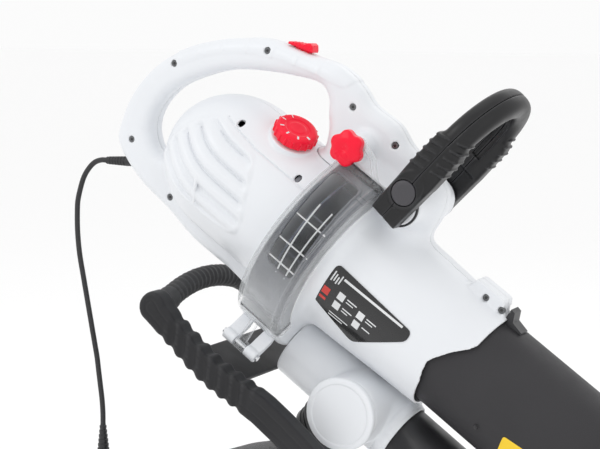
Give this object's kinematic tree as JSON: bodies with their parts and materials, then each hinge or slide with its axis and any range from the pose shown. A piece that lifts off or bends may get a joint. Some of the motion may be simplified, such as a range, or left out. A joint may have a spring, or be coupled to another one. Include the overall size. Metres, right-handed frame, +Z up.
{
  "type": "leaf blower",
  "caption": "Hand-held corded leaf blower and vacuum: looped rear handle, motor cowl, clear-covered fan, suction and blow tubes, carrying frame and bag.",
  "frame": {"origin": "middle of the rear grip's tube, where the hand holds the machine", "axes": "+X from the handle towards the tubes, +Y to the machine's left, +Z up with the nose hanging down"},
  "size_m": [1.0894, 0.25, 0.8339],
  "materials": {
    "white_shell": "satin moulded ABS",
    "red_control": "gloss moulded",
    "clear_cover": "clear polycarbonate",
    "black_plastic": "satin moulded",
    "grey_button": "satin moulded",
    "dark_tube": "fine textured",
    "soft_grip": "soft ribbed",
    "blue_impeller": "satin moulded",
    "steel": "plated",
    "motor_iron": "laminated",
    "copper": "bare copper and brass",
    "carbon": "graphite",
    "board": "solder mask",
    "potentiometer": "satin",
    "bag_cloth": "woven polyester",
    "wheel_rubber": "moulded",
    "plate_print": "printed film",
    "yellow_sticker": "printed film",
    "cord_rubber": "moulded PVC",
    "plug_brass": "nickel-plated"
  },
  "bodies": {
    "blower": {"handle_shell_right": "white_shell", "handle_shell_left": "white_shell", "motor_cowl_right": "white_shell", "motor_cowl_left": "white_shell", "housing_screws": "steel", "switch_body": "black_plastic", "control_board": "board", "dial_potentiometer": "potentiometer", "field_stack": "motor_iron", "field_coils": "copper", "motor_bearings": "steel", "brush_holders": "copper", "carbon_brushes": "carbon", "rear_bracket": "motor_iron", "end_shield": "motor_iron", "volute_base": "white_shell", "cover_hinge_pin": "steel", "suction_casing_right": "white_shell", "suction_casing_left": "white_shell", "rating_plate": "plate_print", "tube_catch": "black_plastic", "duct_right": "white_shell", "duct_left": "white_shell", "handle_washers": "black_plastic", "handle_bolt": "steel", "carry_frame_right": "black_plastic", "carry_frame_left": "black_plastic", "carry_grip": "soft_grip", "frame_bracket": "black_plastic", "bag_collar": "black_plastic", "dust_bag": "bag_cloth", "suction_tube_upper": "dark_tube", "suction_tube_lower": "dark_tube", "blow_tube_upper": "black_plastic", "blow_tube_lower": "black_plastic", "warning_diamond": "yellow_sticker", "wheel_bracket": "black_plastic", "wheel_axle": "steel", "cord_sleeve": "cord_rubber", "mains_cord": "cord_rubber", "plug_body": "cord_rubber", "plug_pins": "plug_brass"},
    "rotor": {"armature": "motor_iron", "commutator": "copper", "motor_shaft": "steel", "cooling_fan": "black_plastic", "impeller": "blue_impeller", "impeller_nut": "steel"},
    "switch": {"slide_switch": "red_control"},
    "dial": {"speed_dial": "red_control"},
    "cover": {"volute_cover": "clear_cover"},
    "knob": {"star_knob": "red_control", "knob_bolt": "steel"},
    "front_handle": {"front_handle_rear": "black_plastic", "front_handle_front": "black_plastic"},
    "button": {"handle_button": "grey_button"},
    "changeover": {"changeover_flap": "black_plastic", "changeover_knob": "white_shell"},
    "wheel_r": {"wheel_right": "wheel_rubber"},
    "wheel_l": {"wheel_left": "wheel_rubber"}
  },
  "joints": [
    {"name": "rotor_spin", "type": "hinge", "parent": "blower", "child": "rotor", "pos_m": [0.07485, 0, -0.17205], "axis": [0.8192, 0, -0.5736], "continuous": true},
    {"name": "switch_slide", "type": "slide", "parent": "blower", "child": "switch", "axis": [0.9455, 0, -0.3256], "range_m": [0, 0.006]},
    {"name": "dial_turn", "type": "hinge", "parent": "blower", "child": "dial", "pos_m": [0.07727, -0.0241, -0.08318], "axis": [0.5455, -0.309, 0.7791], "range_deg": [0, 270]},
    {"name": "cover_hinge", "type": "hinge", "parent": "blower", "child": "cover", "pos_m": [0.04182, -0.07232, -0.29419], "axis": [0.8192, 0, -0.5736], "range_deg": [0, 60]},
    {"name": "knob_spin", "type": "hinge", "parent": "cover", "child": "knob", "pos_m": [0.15783, -0.06, -0.08841], "axis": [0, 1, 0], "continuous": true},
    {"name": "front_handle_tilt", "type": "hinge", "parent": "blower", "child": "front_handle", "pos_m": [0.20725, 0, -0.14511], "axis": [0, 1, 0], "range_deg": [-25, 60]},
    {"name": "button_press", "type": "slide", "parent": "front_handle", "child": "button", "axis": [0, 1, 0], "range_m": [0, 0.004], "stiffness_N_per_m": 600},
    {"name": "changeover_turn", "type": "hinge", "parent": "blower", "child": "changeover", "pos_m": [0.15307, 0, -0.35673], "axis": [0, -1, 0], "range_deg": [0, 110]},
    {"name": "wheel_right_spin", "type": "hinge", "parent": "blower", "child": "wheel_r", "pos_m": [0.67231, -0.055, -0.7873], "axis": [0, 1, 0], "continuous": true},
    {"name": "wheel_left_spin", "type": "hinge", "parent": "blower", "child": "wheel_l", "pos_m": [0.67231, 0.055, -0.7873], "axis": [0, 1, 0], "continuous": true}
  ]
}
